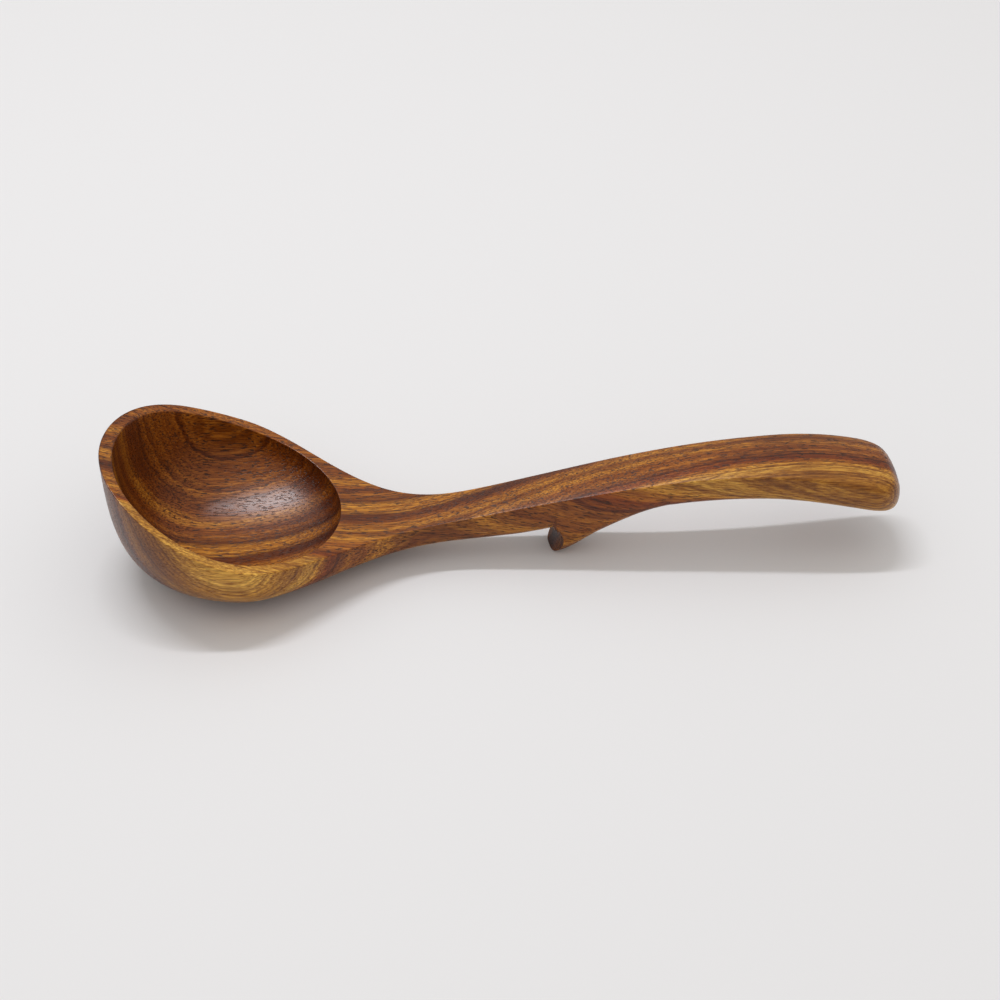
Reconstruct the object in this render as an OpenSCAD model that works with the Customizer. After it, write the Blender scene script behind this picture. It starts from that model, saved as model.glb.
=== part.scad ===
// Hand-carved wooden soup ladle with a pot-rim rest under its handle.
// The whole ladle is carved from one board. It is split here into three regions that meet face to face.
// X runs along the ladle, from the bowl's front lip (-X) to the end of the handle (+X). Z is up, and
// the ladle lies at rest with the foot of its bowl and the tip of its pot rest on Z = 0.
// Lengths in the functions below are measured from the middle of the bowl's mouth.

/* [Bowl] */
// Outer radius of the bowl at its rim
bowl_r = 44.5; // [42:0.5:48]
// Radius of the bowl's round mouth
mouth_r = 40; // [36:0.5:41]
// How much narrower the mouth is at its handle side than at its front, as a share of its width
mouth_taper = 0.11; // [0:0.01:0.15]
// Height of the rim at the front lip
lip_z = 53.5; // [48:0.5:60]
// Height of the rim at the middle of the bowl
mid_rim_z = 32; // [29:0.5:35]
// Thickness of the bowl's floor
floor_t = 3.5; // [3:0.5:7]

/* [Handle] */
// Length from the middle of the bowl's mouth to the end of the handle
reach = 248; // [235:0.5:255]
// Height of the top of the neck, its lowest point
neck_z = 18.2; // [17:0.1:20]
// Half the width of the handle at its narrowest place
waist_half_w = 8.6; // [8:0.1:11]
// Height of the top edge of the handle at its highest point
crest_z = 38.7; // [35:0.1:42]
// Half the width of the handle near its end
paddle_half_w = 15.5; // [13:0.1:18]
// Depth of the handle near its end
paddle_t = 11; // [10:0.5:14]

/* [Pot rest] */
// Distance of the rest's tip from the middle of the bowl's mouth
rest_x = 118.5; // [110:0.5:125]
// Radius of the hollow cove that faces the bowl, where a pot's rim sits
cove_r = 10.5; // [9:0.5:12]
// How far the rest's tip leans over the cove, towards the bowl
rest_lean = 2.5; // [1.5:0.1:3.5]
// Angle by which the cove is cut out of square
cove_skew = 10; // [0:1:15]

/* [Hidden] */

// The bowl ends and the handle starts at this distance
joint_x = 58;
// The pot rest's back runs out into the underside of the handle here
rest_end_x = 172;
// The origin is under the middle of the whole ladle
shift_x = (bowl_r - reach) / 2;
// The flat under the bowl is sanded this far into its round bottom
foot_cut = 0.4;
// Radii of the rounded end of the handle, in plan and in thickness
end_plan_r = 15;
end_side_r = 8;
// Bluntness of the rounded end
end_power = 2.6;

// ---- Smooth lines through [distance, value, slope] knots ----

function hermite(a, b, x) =
    let (
        d = b[0] - a[0],
        t = (x - a[0]) / d,
        t2 = t * t,
        t3 = t2 * t
    )
    (2 * t3 - 3 * t2 + 1) * a[1] + (t3 - 2 * t2 + t) * d * a[2]
        + (3 * t2 - 2 * t3) * b[1] + (t3 - t2) * d * b[2];

function along(knots, x, i = 0) =
    i >= len(knots) - 2 || x <= knots[i + 1][0]
        ? hermite(knots[i], knots[i + 1], x)
        : along(knots, x, i + 1);

// Height of the top edges, from the front lip down to the neck and over the crest of the handle
top_knots = [
    [-bowl_r, lip_z, -0.3],
    [-16, mid_rim_z + 7.6, -0.57],
    [20, mid_rim_z - 7, -0.27],
    [62, neck_z, 0],
    [110, (neck_z + crest_z) / 2 - 2.6, 0.22],
    [196, crest_z, 0],
    [reach, crest_z - 11.5, -0.45]
];
function top_z(x) = along(top_knots, x);

// Half the width of the top: a round bowl that flows into the handle
width_knots = [
    [4, sqrt(bowl_r * bowl_r - 16), -0.09],
    [36, bowl_r - 17.4, -0.72],
    [56, waist_half_w + 6.1, -0.46],
    [86, waist_half_w, 0],
    [150, waist_half_w + 1.9, 0.03],
    [200, paddle_half_w - 2.3, 0.09],
    [reach, paddle_half_w + 0.7, 0]
];
function half_w(x) = x < 4 ? sqrt(max(bowl_r * bowl_r - x * x, 0)) : along(width_knots, x);

// Height of the lowest line of the outside, along the middle
front_power = 3.4;
keel_knots = [
    [0, -foot_cut, 0],
    [36, 2.6, 0.14],
    [62, 6, 0.12],
    [104, 9.8, 0.12],
    [140, 18.6, 0.22],
    [196, crest_z - 13.6, 0],
    [reach, crest_z - 11.5 - paddle_t, -0.16]
];
function keel_z(x) =
    x < 0
        ? -foot_cut + (lip_z + foot_cut) * (1 - pow(1 - pow(min(-x / bowl_r, 1), front_power), 1 / front_power))
        : along(keel_knots, x);

// Squareness of the section: round under the bowl, squarer along the handle, rounder again at its end
power_knots = [[15, 2.5, 0], [80, 3.6, 0], [190, 3.6, 0], [reach, 2.6, 0]];
function section_power(x) = x < 15 ? 2.5 : along(power_knots, x);

// Height of the crown on top of the handle
crown_knots = [[joint_x, 0, 0], [100, 0.9, 0.01], [190, 1.5, 0.01], [reach, 5.5, 0.08]];
function crown_h(x) = x < joint_x ? 0 : along(crown_knots, x);

// Share of the full size that is left within r of the handle's end
function end_share(x, r) =
    x < reach - r ? 1 : pow(1 - pow(min((x - reach + r) / r, 0.995), end_power), 1 / end_power);

// ---- Sections ----

function arc_pow(v, p) = sign(v) * pow(abs(v), p);

// Closed section at distance x: a flat or crowned top over a rounded underside of power n
function section(x, w, top, crown, depth, n, steps) =
    concat(
        [for (i = [0 : steps])
            let (a = 180 * i / steps)
            [x, w * arc_pow(cos(a), 2 / n), top - depth * arc_pow(sin(a), 2 / n)]],
        [for (i = [1 : 9])
            let (a = 18 * i)
            [x, -w * cos(a), top + crown * sin(a)]]
    );

function body_section(x) =
    let (
        plan = end_share(x, end_plan_r),
        side = end_share(x, end_side_r),
        top = top_z(x),
        depth = top - keel_z(x),
        middle = top - depth / 2
    )
    section(x, half_w(x) * plan, middle + depth / 2 * side, crown_h(x) * side, depth * side,
        section_power(x), 28);

// Joins a row of sections into one closed solid, with a fan of triangles over each end
module loft(rings) {
    n = len(rings[0]);
    last = len(rings) - 1;
    first_middle = len(rings) * n;
    last_middle = first_middle + 1;
    points = concat(
        [for (ring = rings) for (p = ring) p],
        [middle_of(rings[0]), middle_of(rings[last])]
    );
    faces = concat(
        [for (i = [0 : last - 1]) for (j = [0 : n - 1])
            [i * n + j, i * n + (j + 1) % n, (i + 1) * n + (j + 1) % n]],
        [for (i = [0 : last - 1]) for (j = [0 : n - 1])
            [i * n + j, (i + 1) * n + (j + 1) % n, (i + 1) * n + j]],
        [for (j = [0 : n - 1]) [first_middle, (j + 1) % n, j]],
        [for (j = [0 : n - 1]) [last_middle, last * n + j, last * n + (j + 1) % n]]
    );
    polyhedron(points = points, faces = faces, convexity = 6);
}

function middle_of(ring) =
    let (zs = [for (p = ring) p[2]])
    [ring[0][0], 0, (max(zs) + min(zs)) / 2];

// ---- The bowl's hollow ----

floor_z = floor_t;
function floor_line(x) =
    let (
        edge = top_z(x < 0 ? -mouth_r : mouth_r),
        p = x < 0 ? 2.6 : 2.1
    )
    floor_z + (edge - floor_z) * (1 - pow(1 - pow(min(abs(x) / mouth_r, 1), p), 1 / p));

function mouth_half_w(x) =
    sqrt(max(mouth_r * mouth_r - x * x, 0)) * (1 - mouth_taper / 2 * x / mouth_r);

module hollow() {
    steps = 32;
    over = 12;
    loft([for (i = [1 : steps - 1])
        let (
            x = -mouth_r * cos(180 * i / steps),
            w = mouth_half_w(x),
            top = top_z(x)
        )
        concat(
            [for (j = [0 : 24])
                let (a = 180 * j / 24)
                [x, w * arc_pow(cos(a), 2 / 2.15), top - (top - floor_line(x)) * arc_pow(sin(a), 2 / 2.15)]],
            [[x, -w, top + over], [x, w, top + over]]
        )]);
}

// ---- Nodes ----

module bowl() color("sienna") translate([shift_x, 0, 0]) {
    steps = 34;
    // The front half is spaced like a round, so that the lip closes smoothly
    front = [for (i = [0 : steps / 2]) -(bowl_r - 0.05) * cos(90 * i / (steps / 2))];
    back = [for (i = [1 : steps / 2]) joint_x * i / (steps / 2)];
    difference() {
        loft([for (x = concat(front, back)) body_section(x)]);
        hollow();
        // The flat that the bowl stands on
        translate([-bowl_r, -bowl_r, -5])
            cube([2 * bowl_r, 2 * bowl_r, 5]);
    }
}

module handle_solid() {
    steps = 44;
    shaft_end = reach - end_plan_r;
    shaft = [for (i = [0 : steps]) joint_x + (shaft_end - joint_x) * i / steps];
    tip = [for (i = [1 : 10]) shaft_end + end_plan_r * sin(9 * i)];
    loft([for (x = concat(shaft, tip)) body_section(x)]);
}

module handle() color("peru") translate([shift_x, 0, 0]) handle_solid();

// Lowest line of the pot rest, from its tip up to the underside of the handle
rest_knots = [
    [rest_x - 3, 0, 0],
    [rest_x, 0, 0],
    [rest_x + 18, 10.7, 0.61],
    [rest_x + 29, 17.2, 0.54],
    [rest_x + 41, 22.1, 0.26],
    [rest_end_x, keel_z(rest_end_x) + 1, 0.12]
];

module pot_rest() color("saddlebrown") translate([shift_x, 0, 0]) {
    steps = 26;
    inset = 0.4;
    start = rest_x - 3;
    difference() {
        loft([for (i = [0 : steps])
            let (
                x = start + (rest_end_x - start) * i / steps,
                top = top_z(x) - 3
            )
            section(x, half_w(x) - inset, top, 0, top - along(rest_knots, x), 2.8, 24)]);
        // The cove that a pot's rim sits in
        translate([rest_x + rest_lean - cove_r, 0, 7.5])
            rotate([90, 0, cove_skew])
                cylinder(h = 60, r = cove_r, center = true, $fn = 64);
        translate([rest_x - 20, -30, 7.5])
            rotate([0, 0, cove_skew])
                cube([20 + rest_lean - cove_r, 60, 20]);
        handle_solid();
    }
}

bowl();
handle();
pot_rest();
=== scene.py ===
"""A hand-carved wooden ladle with a pot-rim rest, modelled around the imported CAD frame.

The shapes are worked out in millimetres from the middle of the bowl's mouth, with the table at Z = 0,
and placed in the frame in metres by place(). The same solid wood runs through all three pieces.
"""

import math

import bmesh
import bpy
import numpy as np
from mathutils import Matrix, Vector


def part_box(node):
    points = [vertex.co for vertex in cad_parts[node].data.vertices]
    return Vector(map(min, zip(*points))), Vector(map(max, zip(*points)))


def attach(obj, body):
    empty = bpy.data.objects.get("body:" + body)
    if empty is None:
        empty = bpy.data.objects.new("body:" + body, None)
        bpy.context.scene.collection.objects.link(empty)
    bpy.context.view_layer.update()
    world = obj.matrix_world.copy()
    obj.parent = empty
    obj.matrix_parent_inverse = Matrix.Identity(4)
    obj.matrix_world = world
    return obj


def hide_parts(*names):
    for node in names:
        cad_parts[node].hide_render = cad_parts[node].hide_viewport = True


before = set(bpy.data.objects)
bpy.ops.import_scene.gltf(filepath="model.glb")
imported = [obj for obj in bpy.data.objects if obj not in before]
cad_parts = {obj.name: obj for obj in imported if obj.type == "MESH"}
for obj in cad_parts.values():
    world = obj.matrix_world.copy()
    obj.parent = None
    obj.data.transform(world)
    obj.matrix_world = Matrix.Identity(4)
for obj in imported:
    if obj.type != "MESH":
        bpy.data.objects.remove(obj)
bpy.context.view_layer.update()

MM = 0.001

# ---- Driving dimensions, from the frame, in millimetres ----

bowl_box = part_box("bowl")
handle_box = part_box("handle")
rest_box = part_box("pot_rest")

BOWL_R = (bowl_box[1].y - bowl_box[0].y) / 2 / MM
REACH = 2 * handle_box[1].x / MM - BOWL_R          # from the middle of the mouth to the handle's end
MOUTH_X = handle_box[1].x / MM - REACH             # where the middle of the mouth is in the frame
JOINT_X = bowl_box[1].x / MM - MOUTH_X             # where the bowl ends and the handle starts
LIP_Z = bowl_box[1].z / MM                         # height of the front lip
REST_END_X = rest_box[1].x / MM - MOUTH_X          # where the pot rest runs out under the handle

# ---- Carving dimensions, in millimetres ----

MOUTH_R = BOWL_R - 4.5
MOUTH_TAPER = 0.055          # half the share by which the mouth is narrower towards the handle
MID_RIM_Z = 32
FLOOR_Z = 3.5
NECK_Z = 18.2
WAIST_HALF_W = 8.6
CREST_Z = 38.7
PADDLE_HALF_W = 15.5
PADDLE_T = 11
END_PLAN_R = 15
END_SIDE_R = 8
END_POWER = 2.6
FRONT_POWER = 3.4
BOWL_POWER = 2.5
HANDLE_POWER = 3.6
EDGE_R = 0.4                 # eased outside edges
INNER_R = 0.45               # eased edge of the mouth
FOOT_CUT = 0.4
REST_X = 118.5
COVE_R = 10.5
COVE_Z = 7.5
COVE_X = REST_X + 2.5 - COVE_R
COVE_SKEW = math.tan(math.radians(10))
REST_ROOT = 1.5              # how deep the pot rest's top is buried in the handle
END_Z = CREST_Z - 11.5


# ---- Smooth lines ----

def along(knots, x):
    """Smooth curve through (distance, value, slope) knots, for one distance or an array of them."""
    knots = np.array(knots, float)
    x = np.asarray(x, float)
    i = np.clip(np.searchsorted(knots[:, 0], x) - 1, 0, len(knots) - 2)
    a, b = knots[i], knots[i + 1]
    d = b[..., 0] - a[..., 0]
    t = (x - a[..., 0]) / d
    rise = 3 * t ** 2 - 2 * t ** 3
    return ((1 - rise) * a[..., 1] + rise * b[..., 1]
            + (t ** 3 - 2 * t ** 2 + t) * d * a[..., 2] + (t ** 3 - t ** 2) * d * b[..., 2])


def superarc(t, power):
    """Height of a superellipse quarter of the given power at share t of its width."""
    return np.maximum(1 - np.minimum(np.abs(t), 1) ** power, 0) ** (1 / power)


def smoothstep(low, high, x):
    t = np.clip((np.asarray(x, float) - low) / (high - low), 0, 1)
    return t * t * (3 - 2 * t)


def top_z(x):
    """Height of the top edges, from the front lip down to the neck and over the handle's crest."""
    return along([
        (-BOWL_R, LIP_Z, -0.3),
        (-16, MID_RIM_Z + 7.6, -0.57),
        (20, MID_RIM_Z - 7, -0.27),
        (62, NECK_Z, 0),
        (110, (NECK_Z + CREST_Z) / 2 - 2.6, 0.22),
        (196, CREST_Z, 0),
        (REACH, END_Z, -0.45),
    ], x)


def half_w(x):
    """Half the width of the top: a round bowl that flows into the handle."""
    x = np.asarray(x, float)
    flow = along([
        (4, math.sqrt(BOWL_R ** 2 - 16), -0.09),
        (36, BOWL_R - 17.4, -0.72),
        (56, WAIST_HALF_W + 6.1, -0.46),
        (86, WAIST_HALF_W, 0),
        (150, WAIST_HALF_W + 1.9, 0.03),
        (200, PADDLE_HALF_W - 2.3, 0.09),
        (REACH, PADDLE_HALF_W + 0.7, 0),
    ], x)
    return np.where(x < 4, np.sqrt(np.maximum(BOWL_R ** 2 - x ** 2, 0)), flow)


def keel_z(x):
    """Height of the lowest line of the outside, along the middle."""
    x = np.asarray(x, float)
    front = -FOOT_CUT + (LIP_Z + FOOT_CUT) * (1 - superarc(x / BOWL_R, FRONT_POWER))
    back = along([
        (0, -FOOT_CUT, 0),
        (36, 2.6, 0.14),
        (62, 6, 0.12),
        (104, 9.8, 0.12),
        (140, 18.6, 0.22),
        (196, CREST_Z - 13.6, 0),
        (REACH, END_Z - PADDLE_T, -0.16),
    ], x)
    return np.where(x < 0, front, back)


def section_power(x):
    """Squareness of the underside: round under the bowl, squarer along the handle."""
    knots = [(15, BOWL_POWER, 0), (80, HANDLE_POWER, 0), (190, HANDLE_POWER, 0), (REACH, 2.6, 0)]
    return np.where(x < 15, BOWL_POWER, along(knots, x))


def apex_h(x):
    """Height of the middle of the handle's top above its edges."""
    knots = [(JOINT_X, 0, 0), (100, 0.9, 0.01), (190, 1.5, 0.01), (REACH, 5.5, 0.08)]
    return np.where(x < JOINT_X, 0, along(knots, x))


def crown_h(x):
    """The part of that height that is a broad crown; the rest is the rounded edge."""
    knots = [(JOINT_X, 0, 0), (100, 0.9, 0.01), (190, 1.5, 0.01), (REACH, 2.3, 0.02)]
    return np.where(x < JOINT_X, 0, along(knots, x))


def edge_r(x):
    """Radius of the eased top edges, small on the bowl and full at the handle's end."""
    knots = [(160, EDGE_R, 0), (200, 0.9, 0.03), (REACH, 4.6, 0.09)]
    return np.where(x < 160, EDGE_R, along(knots, x))


def top_surface(x, y, edge_distance):
    """Height of the carved top at (x, y), eased over within edge_r of its edge."""
    r = edge_r(x)
    over = np.clip((r - edge_distance) / r, 0, 1)
    crown = apex_h(x) - crown_h(x) * (y / np.maximum(half_w(x), 0.01)) ** 2
    return top_z(x) + crown - r * (1 - np.sqrt(np.maximum(1 - over ** 2, 0)))


def wall_top(x):
    """Height at which the outside turns straight down from the eased edge."""
    return top_z(x) + apex_h(x) - crown_h(x) - edge_r(x)


def under_surface(x, y):
    """Height of the outside's underside at (x, y)."""
    start = wall_top(x)
    share = y / np.maximum(half_w(x), 0.01)
    return np.maximum(start - (start - keel_z(x)) * superarc(share, section_power(x)), 0)


# ---- Meshes ----

def place(points):
    """Points in millimetres from the mouth's middle, as metres in the frame."""
    return (np.asarray(points, float) + (MOUTH_X, 0, 0)) * MM


def make_mesh(name, points, faces, sharp_angle=40):
    """A closed mesh object with smooth faces and sharp creases."""
    mesh = bpy.data.meshes.new(name)
    mesh.from_pydata(place(points).tolist(), [], faces)
    piece = bpy.data.objects.new(name, mesh)
    bpy.context.scene.collection.objects.link(piece)
    clean = bmesh_of(mesh)
    clean.to_mesh(mesh)
    clean.free()
    mesh.polygons.foreach_set("use_smooth", [True] * len(mesh.polygons))
    mesh.set_sharp_from_angle(angle=math.radians(sharp_angle))
    mesh.update()
    return piece


def bmesh_of(mesh):
    """A bmesh of it with doubled points merged, flat scraps removed and normals outward."""
    made = bmesh.new()
    made.from_mesh(mesh)
    bmesh.ops.remove_doubles(made, verts=made.verts, dist=2e-6)
    bmesh.ops.dissolve_degenerate(made, edges=made.edges, dist=1e-6)
    bmesh.ops.recalc_face_normals(made, faces=made.faces)
    return made


def grid_faces(rows, columns, first=0):
    """Quads between rows of points, where each row is a closed ring."""
    faces = []
    for i in range(rows - 1):
        for j in range(columns):
            k = (j + 1) % columns
            a, b = first + i * columns, first + (i + 1) * columns
            faces.append((a + j, a + k, b + k, b + j))
    return faces


def even_curve(points, count):
    """The same curve with its points evenly spaced."""
    steps = np.hypot(*np.diff(points, axis=0).T)
    walked = np.concatenate([[0], np.cumsum(steps)])
    wanted = np.linspace(0, walked[-1], count)
    return np.stack([np.interp(wanted, walked, points[:, i]) for i in range(points.shape[1])], axis=1)


def across_top(width, radius, flat_steps=30, edge_steps=9):
    """Distances across a top from -width to width, closer together over its eased edges."""
    turn = np.linspace(0, math.pi / 2, edge_steps + 1)
    edge = -width + radius * (1 - np.cos(turn))
    middle = np.linspace(-width + radius, width - radius, flat_steps + 1)[1:-1]
    return np.concatenate([edge, middle, -edge[::-1]])


# ---- Bowl ----

def bowl_outline():
    """Plan of the bowl's edge as a closed ring: round the front, along both sides and across the joint."""
    turn = np.linspace(math.pi, math.pi / 2 - 0.05, 400)
    front = np.stack([BOWL_R * np.cos(turn), BOWL_R * np.sin(turn)], axis=1)
    x = np.linspace(front[-1, 0], JOINT_X, 400)[1:]
    side = np.concatenate([front, np.stack([x, half_w(x)], axis=1)])
    side = even_curve(side, 170)
    side[-1] = (JOINT_X, half_w(JOINT_X))
    cut_y = across_top(float(half_w(JOINT_X)), float(edge_r(JOINT_X)))[::-1][1:-1]
    cut = np.stack([np.full(len(cut_y), JOINT_X), cut_y], axis=1)
    mirrored = side[::-1] * (1, -1)
    ring = np.concatenate([side, cut, mirrored[:-1]])
    on_cut = np.zeros(len(ring), bool)
    on_cut[len(side):len(side) + len(cut)] = True
    return ring, on_cut


def mouth_radius(direction):
    """Radius of the mouth's edge in each plan direction (unit vectors)."""
    radius = np.full(len(direction), MOUTH_R)
    for _ in range(20):
        narrow = 1 - MOUTH_TAPER * radius * direction[:, 0] / MOUTH_R
        radius = MOUTH_R / np.sqrt(direction[:, 0] ** 2 + (direction[:, 1] / narrow) ** 2)
    return radius


def edge_gap(x, y):
    """Distance in plan from (x, y) to the bowl's outside edge."""
    slope = (half_w(x + 0.05) - half_w(x - 0.05)) / 0.1
    beside = (half_w(x) - np.abs(y)) / np.sqrt(1 + slope ** 2)
    return np.where(x < 4, BOWL_R - np.hypot(x, y), beside)


def hollow_surface(x, y, share):
    """Height of the hollow at share of the way from its middle to the mouth's edge."""
    edge = top_z(x)
    front = smoothstep(10, -20, x)
    power = 2.1 + 0.5 * front
    return edge - (edge - FLOOR_Z) * superarc(share, power)


def bowl_points():
    ring, on_cut = bowl_outline()
    length = np.hypot(ring[:, 0], ring[:, 1])
    direction = ring / length[:, None]
    mouth = mouth_radius(direction)
    rows = []

    # The hollow, from its middle up to the eased inner edge
    for turn in np.linspace(0.02, 1, 56):
        share = math.sin(turn * math.pi / 2) ** (2 / 2.5)
        radius = mouth * share
        x, y = (direction * radius[:, None]).T
        z = hollow_surface(x, y, share)
        edge_x = direction[:, 0] * mouth
        # The last rows stay below the eased edge, which the next rows turn over onto the rim
        if share > 0.97:
            z = np.minimum(z, top_z(edge_x) - INNER_R)
        rows.append(np.stack([x, y, z], axis=1))
    for turn in np.linspace(0, math.pi / 2, 6)[1:]:
        radius = mouth + INNER_R * (1 - math.cos(turn))
        x, y = (direction * radius[:, None]).T
        z = top_z(x) - INNER_R * (1 - math.sin(turn))
        rows.append(np.stack([x, y, z], axis=1))

    # The flat rim, out to where the outside edge starts to turn over
    start = mouth + INNER_R
    inward = rim_inward(ring)
    r = edge_r(ring[:, 0])
    eased = ring + inward * r[:, None]
    goal = np.where(on_cut[:, None], ring, eased)
    begin = direction * start[:, None]
    for t in np.linspace(0, 1, 16)[1:]:
        x, y = (begin + (goal - begin) * t).T
        rows.append(np.stack([x, y, top_surface(x, y, edge_gap(x, y))], axis=1))

    # The eased outside edge; on the joint this strip is the flat end face instead
    wall_start = wall_top(ring[:, 0])
    end_low = under_surface(ring[:, 0], ring[:, 1])
    end_high = top_surface(ring[:, 0], ring[:, 1], edge_gap(ring[:, 0], ring[:, 1]))
    for turn in np.linspace(0, 1, 9)[1:]:
        angle = turn * math.pi / 2
        side = ring + inward * (r * (1 - math.sin(angle)))[:, None]
        xy = np.where(on_cut[:, None], ring, side)
        z = np.where(on_cut, end_high + (end_low - end_high) * turn, wall_start + r * math.cos(angle))
        rows.append(np.column_stack([xy, z]))

    # The outside, down to the middle of the foot
    for turn in np.linspace(1, 0.02, 60)[1:]:
        share = math.sin(turn * math.pi / 2) ** (2 / 2.9)
        x, y = (ring * share).T
        rows.append(np.stack([x, y, under_surface(x, y)], axis=1))
    return rows


def rim_inward(ring):
    """Unit vectors in plan from the outside edge inward: square to the round, sideways by the joint."""
    x = ring[:, 0]
    slope = (half_w(x + 0.01) - half_w(x - 0.01)) / 0.02
    side = np.where(ring[:, 1] < 0, -1, 1)
    square = np.stack([slope * side * side, -side], axis=1) / np.sqrt(1 + slope ** 2)[:, None]
    square = np.where((x < 4)[:, None], -ring / BOWL_R, square)
    sideways = np.stack([np.zeros(len(x)), -side], axis=1)
    blend = smoothstep(25, 52, x)[:, None]
    mixed = square * (1 - blend) + sideways * blend
    return mixed / np.linalg.norm(mixed, axis=1)[:, None]


def make_bowl():
    rows = bowl_points()
    columns = len(rows[0])
    points = np.concatenate(rows)
    faces = grid_faces(len(rows), columns)
    centre = len(points)
    points = np.concatenate([points, [(0, 0, FLOOR_Z), (0, 0, 0)]])
    last = (len(rows) - 1) * columns
    for j in range(columns):
        k = (j + 1) % columns
        faces.append((centre, k, j))
        faces.append((centre + 1, last + j, last + k))
    return make_mesh("ladle_bowl", points, faces)


# ---- Handle ----

def side_section(x, low, turn):
    """Points (y, z) of a section from the wall's top on one side, down to height low, to the other side."""
    power = section_power(x)
    y = half_w(x) * np.sign(np.cos(turn)) * np.abs(np.cos(turn)) ** (2 / power)
    z = wall_top(x) - (wall_top(x) - low) * np.sin(turn) ** (2 / power)
    return y, z


def handle_section(x):
    """Closed section of the handle at distance x. Over the pot rest its sides run on into the rest's."""
    w = float(half_w(x))
    top_y = across_top(w, float(edge_r(x)))
    top = top_surface(x, top_y, w - np.abs(top_y))
    turn = np.linspace(0, math.pi, 82)[1:-1]
    keel = float(keel_z(x))
    over_rest = float(smoothstep(COVE_X + COVE_R - 2.5, COVE_X + COVE_R - 0.2, x))
    reached = min(float(rest_line(x)), keel) if REST_X < x < REST_END_X else keel
    low_y, low = side_section(x, keel + (reached - keel) * over_rest, turn)
    low = np.maximum(low, keel)
    y = np.concatenate([top_y, low_y])
    z = np.concatenate([top, low])
    plan = float(superarc(max(x - REACH + END_PLAN_R, 0) / END_PLAN_R, END_POWER))
    side = float(superarc(max(x - REACH + END_SIDE_R, 0) / END_SIDE_R, END_POWER))
    middle = float(top_z(x) + keel_z(x)) / 2
    return np.stack([np.full(len(y), x), y * plan, middle + (z - middle) * side], axis=1)


def make_handle():
    shaft_end = REACH - END_PLAN_R
    shaft = np.linspace(JOINT_X, shaft_end, 230)
    turn = np.linspace(0, math.pi / 2, 40)[1:]
    tip = shaft_end + END_PLAN_R * np.sin(turn) ** (2 / END_POWER)
    tip[-1] = REACH - 0.001
    rings = [handle_section(x) for x in np.concatenate([shaft, np.sort(tip)])]
    columns = len(rings[0])
    points = np.concatenate(rings)
    faces = grid_faces(len(rings), columns)
    first, last = len(points), len(points) + 1
    ends = [rings[0].mean(axis=0), rings[-1].mean(axis=0)]
    points = np.concatenate([points, ends])
    offset = (len(rings) - 1) * columns
    for j in range(columns):
        k = (j + 1) % columns
        faces.append((first, k, j))
        faces.append((last, offset + j, offset + k))
    return make_mesh("ladle_handle", points, faces)


# ---- Pot rest ----

def rest_line(x):
    """Lowest line of the pot rest, from its tip up to the underside of the handle."""
    return along([
        (REST_X - 3, 0, 0),
        (REST_X, 0, 0),
        (REST_X + 18, 10.7, 0.61),
        (REST_X + 29, 17.2, 0.54),
        (REST_X + 41, 22.1, 0.26),
        (REST_END_X, float(keel_z(REST_END_X)) + 1, 0.12),
    ], x)


def cove_x(y, z):
    """Front of the pot rest: the skewed hollow cove that a pot's rim sits in."""
    deep = np.sqrt(np.maximum(COVE_R ** 2 - (z - COVE_Z) ** 2, 0))
    return COVE_X - y * COVE_SKEW + deep


def rest_section(x, share):
    """Points (y, z) of the pot rest's section, for shares from 0 on one side to 1 on the other.

    It starts REST_ROOT above the handle's underside, so that its root is buried in the handle."""
    low = np.minimum(rest_line(x), keel_z(x) - 0.02)
    start = wall_top(x)
    power = section_power(x)
    root = np.arcsin(((start - keel_z(x) - REST_ROOT) / (start - low)) ** (power / 2))
    y, z = side_section(x, low, root + (math.pi - 2 * root) * share)
    return y * (1 - 0.03 / half_w(x)), z


def make_rest():
    around = np.linspace(0, 1, 81)
    x = np.full(len(around), REST_X)
    for _ in range(40):
        y, z = rest_section(x, around)
        x = x * 0.5 + cove_x(y, z) * 0.5
    front = x
    rings = []
    for share in np.linspace(0, 1, 60):
        x = front + (REST_END_X - front) * share
        y, z = rest_section(x, around)
        rings.append(np.stack([x, y, z], axis=1))
    columns = len(around)
    points = np.concatenate(rings)
    faces = []
    for i in range(len(rings) - 1):
        for j in range(columns - 1):
            a, b = i * columns + j, (i + 1) * columns + j
            faces.append((a, a + 1, b + 1, b))
        a, b = i * columns, (i + 1) * columns
        faces.append((a + columns - 1, a, b, b + columns - 1))
    # The cove's face: strips across from one side to the other
    half = columns // 2
    across = 24
    strips = []
    for j in range(half + 1):
        left, right = rings[0][j], rings[0][columns - 1 - j]
        strip = np.linspace(left, right, across + 1)
        strip[1:-1, 0] = cove_x(strip[1:-1, 1], strip[1:-1, 2])
        strips.append(strip)
    base = len(points)
    points = np.concatenate([points, *strips])
    for j in range(half):
        for i in range(across):
            a, b = base + j * (across + 1) + i, base + (j + 1) * (across + 1) + i
            faces.append((a, a + 1, b + 1, b))
    # The back end, hidden inside the handle
    faces.append(tuple(range((len(rings) - 1) * columns, len(rings) * columns)))
    return make_mesh("ladle_pot_rest", points, faces)


# ---- Wood ----
#
# The board's growth layers are surfaces of constant growth: growth falls from the far side to the near
# side, where the pale sapwood is. The layers stand upright in the middle and on the far side of the bowl, and
# they slant on its near side and along the handle.

LAYER_DRIFT = 0.06           # how far the layers move across for each millimetre along the board
LAYER_BEND = 7               # how much further across they lie on the handle, in millimetres
LAYER_SLANT = 0.3            # how far the slanted layers lean across for each millimetre of height
SLANT_Z = 20                 # height at which the slant leaves them in place

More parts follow.
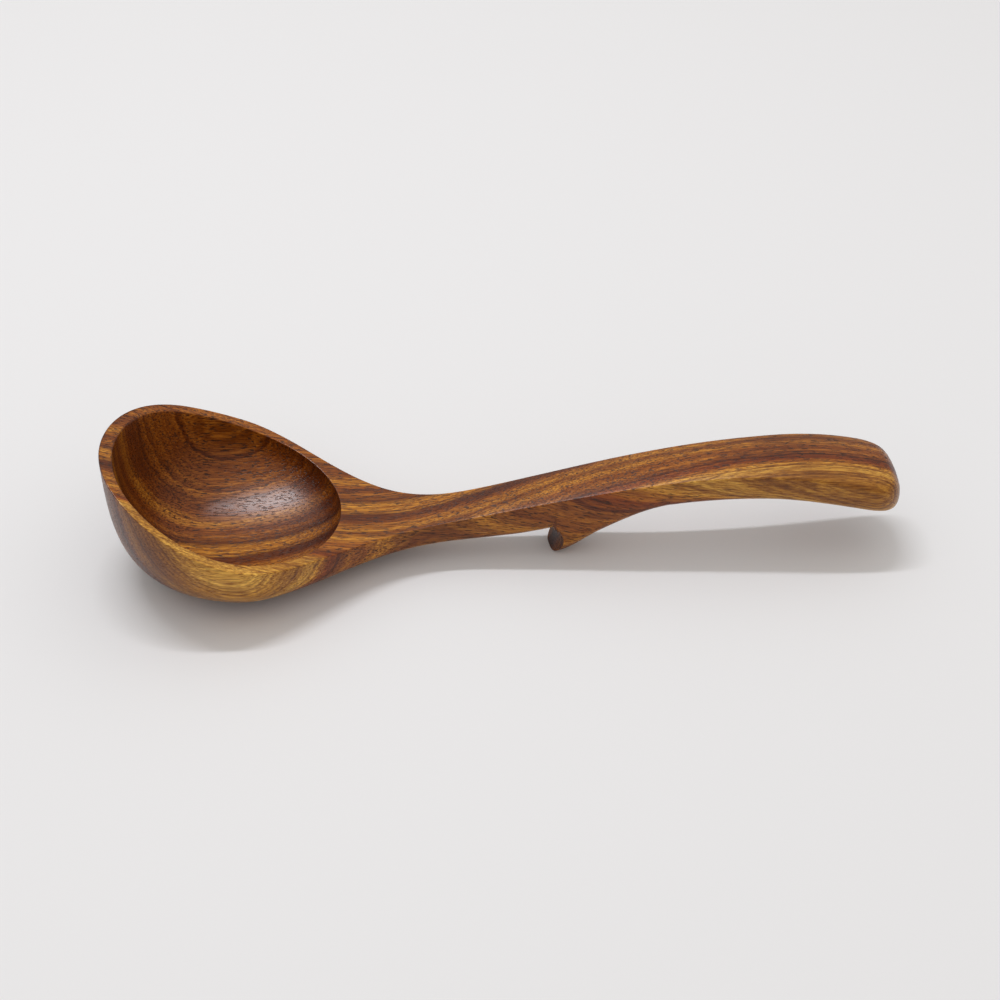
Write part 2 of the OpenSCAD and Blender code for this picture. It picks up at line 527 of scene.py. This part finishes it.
DARK = (0.100, 0.020, 0.0020)
UMBER = (0.150, 0.034, 0.0030)
BROWN = (0.205, 0.051, 0.0040)
RUSSET = (0.200, 0.038, 0.0020)
AMBER = (0.285, 0.084, 0.0070)
GOLD = (0.400, 0.145, 0.0130)
TAN = (0.370, 0.150, 0.0170)
HONEY = (0.480, 0.225, 0.0330)
LINE = (0.180, 0.055, 0.0060)
PORE = (0.036, 0.009, 0.0020)

# (growth in millimetres, colour), from the near side's sapwood to the far side
GROWTH_BANDS = [
    (-52, TAN), (-44.5, HONEY), (-42, TAN), (-38.6, TAN), (-38.2, LINE), (-37.8, TAN), (-36.7, LINE),
    (-36.4, TAN), (-33, HONEY), (-30.5, GOLD), (-28.8, RUSSET), (-26, UMBER), (-23.5, AMBER), (-21, BROWN),
    (-18, GOLD), (-15.5, UMBER), (-12.5, GOLD), (-9.5, BROWN), (-7, DARK), (-5, DARK), (-2.5, GOLD),
    (0.5, GOLD), (3, DARK), (6, AMBER), (8.5, UMBER), (11, BROWN), (14, GOLD), (18, BROWN), (22, UMBER),
    (27, AMBER), (34, BROWN), (46, AMBER),
]


class Shades:
    """Short calls for building a shader's nodes in one tree."""

    def __init__(self, tree):
        self.tree = tree

    def put(self, socket, value):
        if isinstance(value, bpy.types.NodeSocket):
            self.tree.links.new(value, socket)
        elif value is not None:
            socket.default_value = value

    def math(self, operation, a, b=None, c=None):
        node = self.tree.nodes.new("ShaderNodeMath")
        node.operation = operation
        for socket, value in zip(node.inputs, (a, b, c)):
            self.put(socket, value)
        return node.outputs[0]

    def add(self, a, b):
        return self.math("ADD", a, b)

    def times(self, a, b):
        return self.math("MULTIPLY", a, b)

    def vector(self, x, y, z):
        node = self.tree.nodes.new("ShaderNodeCombineXYZ")
        for socket, value in zip(node.inputs, (x, y, z)):
            self.put(socket, value)
        return node.outputs[0]

    def span(self, value, low, high, to_low=0.0, to_high=1.0, smooth=True):
        """Value mapped from low..high to to_low..to_high, and held beyond."""
        node = self.tree.nodes.new("ShaderNodeMapRange")
        node.interpolation_type = "SMOOTHSTEP" if smooth else "LINEAR"
        limits = (("From Min", low), ("From Max", high), ("To Min", to_low), ("To Max", to_high))
        for name, number in limits:
            node.inputs[name].default_value = number
        self.put(node.inputs["Value"], value)
        return node.outputs["Result"]

    def noise(self, place, detail=2.0, roughness=0.5, dimensions="3D"):
        """Smooth noise about 0.5; place is a vector, or a number for 1D noise."""
        node = self.tree.nodes.new("ShaderNodeTexNoise")
        node.noise_dimensions = dimensions
        self.put(node.inputs["W" if dimensions == "1D" else "Vector"], place)
        node.inputs["Scale"].default_value = 1
        node.inputs["Detail"].default_value = detail
        node.inputs["Roughness"].default_value = roughness
        return node.outputs["Fac"]

    def ramp(self, value, stops):
        node = self.tree.nodes.new("ShaderNodeValToRGB")
        elements = node.color_ramp.elements
        for place, colour in stops[1:-1]:
            elements.new(place)
        for element, (place, colour) in zip(elements, stops):
            element.position = place
            element.color = (*colour, 1)
        self.put(node.inputs["Fac"], value)
        return node.outputs["Color"]

    def mix(self, share, a, b):
        node = self.tree.nodes.new("ShaderNodeMix")
        node.data_type = "RGBA"
        self.put(node.inputs["Factor"], share)
        self.put(node.inputs[6], a)
        self.put(node.inputs[7], b)
        return node.outputs[2]

    def darken(self, colour, share):
        """Colour at a share of its light: the darker it gets, the redder."""
        node = self.tree.nodes.new("ShaderNodeVectorMath")
        node.operation = "MULTIPLY"
        self.put(node.inputs[0], colour)
        tint = self.vector(share, self.math("POWER", share, 1.36), self.math("POWER", share, 1.65))
        self.put(node.inputs[1], tint)
        return node.outputs[0]


class Board:
    """Coordinates in the board, in millimetres: along it, growth, and depth, roughly square to both."""

    def __init__(self, shades):
        nodes = shades.tree.nodes
        split = nodes.new("ShaderNodeSeparateXYZ")
        shades.put(split.inputs[0], nodes.new("ShaderNodeTexCoord").outputs["Object"])
        x = shades.math("MULTIPLY_ADD", split.outputs[0], 1 / MM, -MOUTH_X)
        y = shades.times(split.outputs[1], 1 / MM)
        z = shades.times(split.outputs[2], 1 / MM)
        bend = shades.add(shades.times(x, LAYER_DRIFT), shades.span(x, 40, 140, 0, LAYER_BEND))
        on_handle = shades.span(x, 60, 120, 0, LAYER_SLANT)
        on_near_wall = shades.span(y, -32, -15, LAYER_SLANT, 0)
        slant = shades.math("MAXIMUM", on_handle, on_near_wall)
        lean = shades.times(shades.math("MULTIPLY_ADD", z, -1, SLANT_Z), slant)
        dip = shades.add(shades.times(x, 0.08), shades.span(x, 95, 165, 0, 10))
        self.shades = shades
        self.x = x
        self.growth = shades.math("SUBTRACT", shades.add(y, lean), bend)
        self.depth = shades.add(shades.math("MULTIPLY_ADD", y, LAYER_SLANT, z), dip)

    def grain(self, length, width, offset=0.0, **settings):
        """Noise stretched along the board, with cells of that length and width in millimetres."""
        shades = self.shades
        return shades.noise(shades.vector(
            shades.math("MULTIPLY_ADD", self.x, 1 / length, offset),
            shades.times(self.growth, 1 / width),
            shades.times(self.depth, 1 / width)), **settings)


def growth_layer(board):
    """Growth with a slow and a quick wobble, which are calmer in the sapwood."""
    shades = board.shades
    slow = shades.math("MULTIPLY_ADD", board.grain(70, 18), 3.4, -1.7)
    quick = shades.math("MULTIPLY_ADD", board.grain(14, 3.4, 7), 1.8, -0.9)
    calm = shades.span(board.growth, -40, -27, 0.3, 1)
    return shades.add(board.growth, shades.times(shades.add(slow, quick), calm))


def band_colour(shades, layer):
    """Colour of the growth band at that layer."""
    low, high = GROWTH_BANDS[0][0], GROWTH_BANDS[-1][0]
    stops = [((place - low) / (high - low), colour) for place, colour in GROWTH_BANDS]
    return shades.ramp(shades.span(layer, low, high, smooth=False), stops)


def wood_light(board, layer, fibres):
    """Brightness from thin layers, fibres, dark lines, blotches, the handle's dark end, and painted shade
    with end grain on faces that look along the board.
    """
    shades = board.shades
    thin = shades.noise(shades.times(layer, 1 / 1.1), detail=3, roughness=0.6, dimensions="1D")
    lines = shades.noise(shades.math("MULTIPLY_ADD", layer, 1 / 2.1, 40), detail=1, dimensions="1D")
    heart = shades.times(shades.span(board.x, 150, 200), shades.span(layer, -30, -28, 0.5, 1))
    # Starts from painted shade, with end grain, on faces that look along the board
    light = shade_and_end_grain(shades)
    for share in (
        shades.span(thin, 0.3, 0.7, 0.80, 1.24),
        shades.span(fibres, 0.3, 0.7, 0.54, 1.56),
        shades.span(lines, 0.62, 0.7, 1, 0.62),
        shades.span(board.grain(28, 9, 21), 0.3, 0.7, 0.86, 1.20),
        shades.math("MULTIPLY_ADD", heart, -0.28, 1),
    ):
        light = shades.times(light, share)
    return light


def shade_and_end_grain(shades):
    """Darkens faces that look along the board, more towards the bowl's front than the handle's end: painted
    shade, with darker end grain in it too.
    """
    split = shades.tree.nodes.new("ShaderNodeSeparateXYZ")
    shades.put(split.inputs[0], shades.tree.nodes.new("ShaderNodeTexCoord").outputs["Normal"])
    facing_front = shades.span(split.outputs[0], -0.6, -0.1, 0.45, 1)
    facing_end = shades.span(split.outputs[0], 0.4, 0.95, 1, 0.72)
    return shades.times(facing_front, facing_end)


def open_pores(board, layer):
    """Short dashes along the fibres, fainter in the sapwood."""
    shades = board.shades
    dashes = shades.span(board.grain(3.4, 0.58, 50, detail=1), 0.58, 0.625)
    return shades.times(dashes, shades.span(layer, -35, -28, 0.35, 1))


def wood(name):
    """Oiled wood: growth bands, wavy layers, fibres along the board and dark open pores."""
    material = bpy.data.materials.new(name)
    material.use_nodes = True
    shades = Shades(material.node_tree)
    board = Board(shades)
    layer = growth_layer(board)
    fibres = board.grain(13, 0.6, 3, detail=4, roughness=0.7)
    pores = open_pores(board, layer)
    colour = shades.darken(band_colour(shades, layer), wood_light(board, layer, fibres))

    shader = material.node_tree.nodes["Principled BSDF"]
    shader.inputs["Specular IOR Level"].default_value = 0.3
    shades.put(shader.inputs["Base Color"], shades.mix(shades.times(pores, 0.85), colour, (*PORE, 1)))
    shine = shades.span(fibres, 0.3, 0.7, 0.26, 0.34)
    shades.put(shader.inputs["Roughness"], shades.add(shades.times(pores, 0.2), shine))
    bump = material.node_tree.nodes.new("ShaderNodeBump")
    bump.inputs["Strength"].default_value = 0.4
    bump.inputs["Distance"].default_value = 0.15 * MM
    shades.put(bump.inputs["Height"], shades.math("SUBTRACT", shades.times(fibres, 0.5), pores))
    shades.put(shader.inputs["Normal"], bump.outputs["Normal"])
    return material


# ---- Stage ----

ROOM_WALLS = 0.32            # brightness of the room at the horizon and below
ROOM_CEILING = 0.92          # and overhead
ROOM_COLOUR = (1, 0.970, 0.935, 1)
LIGHT_COLOUR = (0.94, 0.96, 1)
LIGHT_DISTANCE = 1.6         # metres
LAMP_TOWARDS = (-0.18, 0.21, 1)
LAMP_SIZE = (0.5, 0.045)     # as shares of the distance
LAMP_WATTS = 8.8
WINDOW_TOWARDS = (-0.56, 0.16, 1)
WINDOW_SIZE = (0.36, 0.30)
WINDOW_WATTS = 20
FLOOR_SIZE = 6               # metres from the middle to each side
FLOOR_COLOUR = (0.80, 0.80, 0.81, 1)
CAMERA_TILT = 39.3           # degrees above the table
CAMERA_TURN = -3.2           # degrees round from square on
CAMERA_VIEW = 30             # degrees across
CAMERA_DISTANCE = 0.703      # metres
CAMERA_AIM = (0.0990, 0.0209)  # metres right and up from the middle of the mouth, in the camera's frame


def make_floor():
    """A plain pale matt floor at the height the ladle lies on."""
    mesh = bpy.data.meshes.new("floor")
    corners = [(x * FLOOR_SIZE, y * FLOOR_SIZE, 0) for x, y in ((-1, -1), (1, -1), (1, 1), (-1, 1))]
    mesh.from_pydata(corners, [], [(0, 1, 2, 3)])
    floor = bpy.data.objects.new("floor", mesh)
    bpy.context.scene.collection.objects.link(floor)
    material = bpy.data.materials.new("floor_paper")
    material.use_nodes = True
    shader = material.node_tree.nodes["Principled BSDF"]
    shader.inputs["Base Color"].default_value = FLOOR_COLOUR
    shader.inputs["Roughness"].default_value = 0.9
    shader.inputs["Specular IOR Level"].default_value = 0.1
    mesh.materials.append(material)


def add_camera():
    """Camera at 39 degrees above the table, a little to the left of square on."""
    tilt, turn = math.radians(CAMERA_TILT), math.radians(CAMERA_TURN)
    spin = Matrix.Rotation(turn, 3, "Z")
    right = spin @ Vector((1, 0, 0))
    up = spin @ Vector((0, math.sin(tilt), math.cos(tilt)))
    forward = spin @ Vector((0, math.cos(tilt), -math.sin(tilt)))
    mouth_middle = Vector((MOUTH_X * MM, 0, 0))
    target = mouth_middle + right * CAMERA_AIM[0] + up * CAMERA_AIM[1]
    data = bpy.data.cameras.new("camera")
    data.sensor_width = 36
    data.lens = data.sensor_width / 2 / math.tan(math.radians(CAMERA_VIEW / 2))
    data.clip_start = 0.01
    camera = bpy.data.objects.new("camera", data)
    bpy.context.scene.collection.objects.link(camera)
    facing = Matrix((right, up, -forward)).transposed().to_4x4()
    camera.matrix_world = Matrix.Translation(target - forward * CAMERA_DISTANCE) @ facing
    bpy.context.scene.camera = camera


def add_lights():
    """A long ceiling lamp, a window seen in reflections only, and a room that is brightest overhead."""
    world = bpy.data.worlds.new("room")
    world.use_nodes = True
    shades = Shades(world.node_tree)
    nodes = world.node_tree.nodes
    split = nodes.new("ShaderNodeSeparateXYZ")
    shades.put(split.inputs[0], nodes.new("ShaderNodeTexCoord").outputs["Generated"])
    glow = shades.span(split.outputs[2], 0, 1, ROOM_WALLS, ROOM_CEILING, smooth=False)
    background = nodes["Background"]
    background.inputs["Color"].default_value = ROOM_COLOUR
    shades.put(background.inputs["Strength"], glow)
    bpy.context.scene.world = world

    add_area_light("ceiling_lamp", LAMP_TOWARDS, LAMP_SIZE, LAMP_WATTS)
    # The window shows in reflections only, as the gleam in the hollow
    window = add_area_light("bright_window", WINDOW_TOWARDS, WINDOW_SIZE, WINDOW_WATTS)
    window.visible_diffuse = False


def add_area_light(name, towards, size, watts):
    """A rectangular light in a direction from the ladle; its size is a share of its distance."""
    data = bpy.data.lights.new(name, "AREA")
    data.shape = "RECTANGLE"
    data.size, data.size_y = (share * LIGHT_DISTANCE for share in size)
    data.energy = watts
    data.color = LIGHT_COLOUR
    light = bpy.data.objects.new(name, data)
    aim = Vector(towards).normalized()
    side = (Vector((1, 0, 0)) - aim * aim.x).normalized()
    light.location = aim * LIGHT_DISTANCE
    light.rotation_euler = Matrix((side, aim.cross(side), aim)).transposed().to_euler()
    bpy.context.scene.collection.objects.link(light)
    return light


# ---- Everything together ----

def main():
    """Makes each piece in the place of its CAD node, then the floor, camera and lights."""
    for make, node, slot in (
        (make_bowl, "bowl", "bowl_wood"),
        (make_handle, "handle", "handle_wood"),
        (make_rest, "pot_rest", "rest_wood"),
    ):
        piece = make()
        piece.data.materials.append(wood(slot))
        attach(piece, "root")
        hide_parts(node)
    make_floor()
    add_camera()
    add_lights()
    bpy.context.scene.view_settings.view_transform = "Standard"


main()
